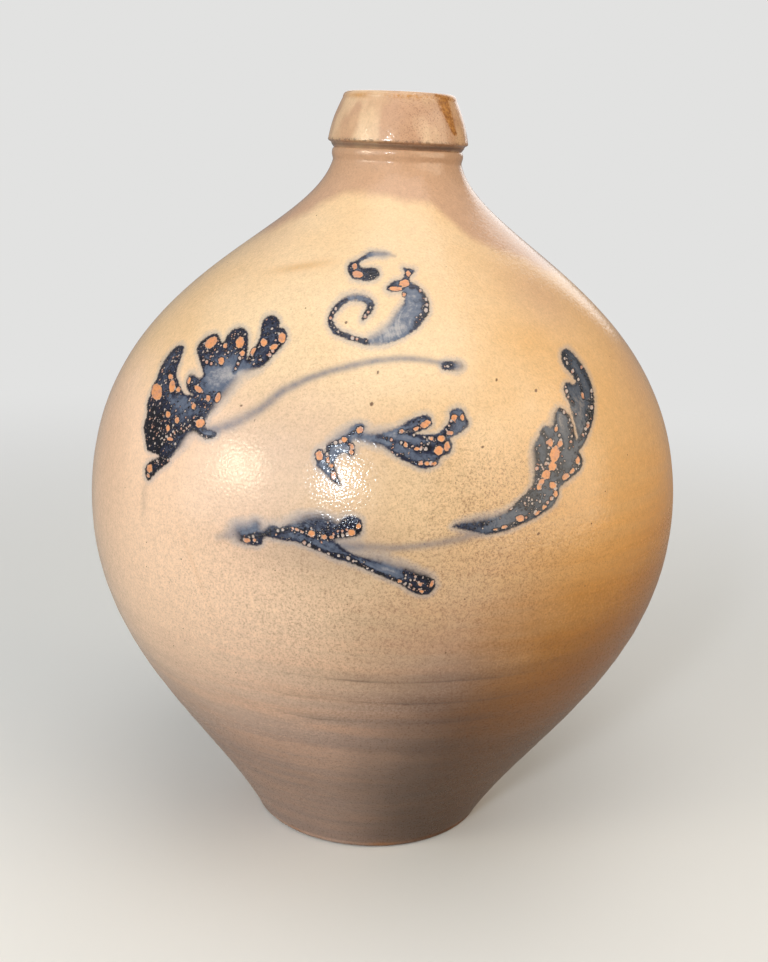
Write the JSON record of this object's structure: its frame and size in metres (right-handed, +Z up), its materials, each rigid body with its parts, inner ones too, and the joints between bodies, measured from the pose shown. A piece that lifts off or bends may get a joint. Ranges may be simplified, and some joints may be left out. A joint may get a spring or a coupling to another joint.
{
  "type": "stoneware jug",
  "caption": "Ovoid salt-glazed stoneware jug with a narrow foot, thick collared mouth and a pulled strap handle at the back.",
  "frame": {"origin": "centre of the flat foot, on the surface that the jug stands on", "axes": "+Z up along the axis of the throwing, -Y towards the painted front, +Y towards the handle, +X to the right seen from the front"},
  "size_m": [0.295, 0.295, 0.37],
  "materials": {
    "lower_glaze": "taupe and buff salt glaze with an orange-peel surface, over throwing rings",
    "shoulder_glaze": "buff salt glaze with brown flashing and blue-black cobalt slip brushwork",
    "collar_glaze": "pinkish-buff salt glaze with an orange iron stain at the lip",
    "handle_glaze": "buff salt glaze, worn thinner along the edges",
    "inside_slip": "glossy dark brown slip glaze"
  },
  "bodies": {
    "root": {"lower_body": "lower_glaze", "upper_body": "shoulder_glaze", "neck_collar": "collar_glaze", "strap_handle": "handle_glaze", "slip_lining": "inside_slip"}
  },
  "joints": []
}
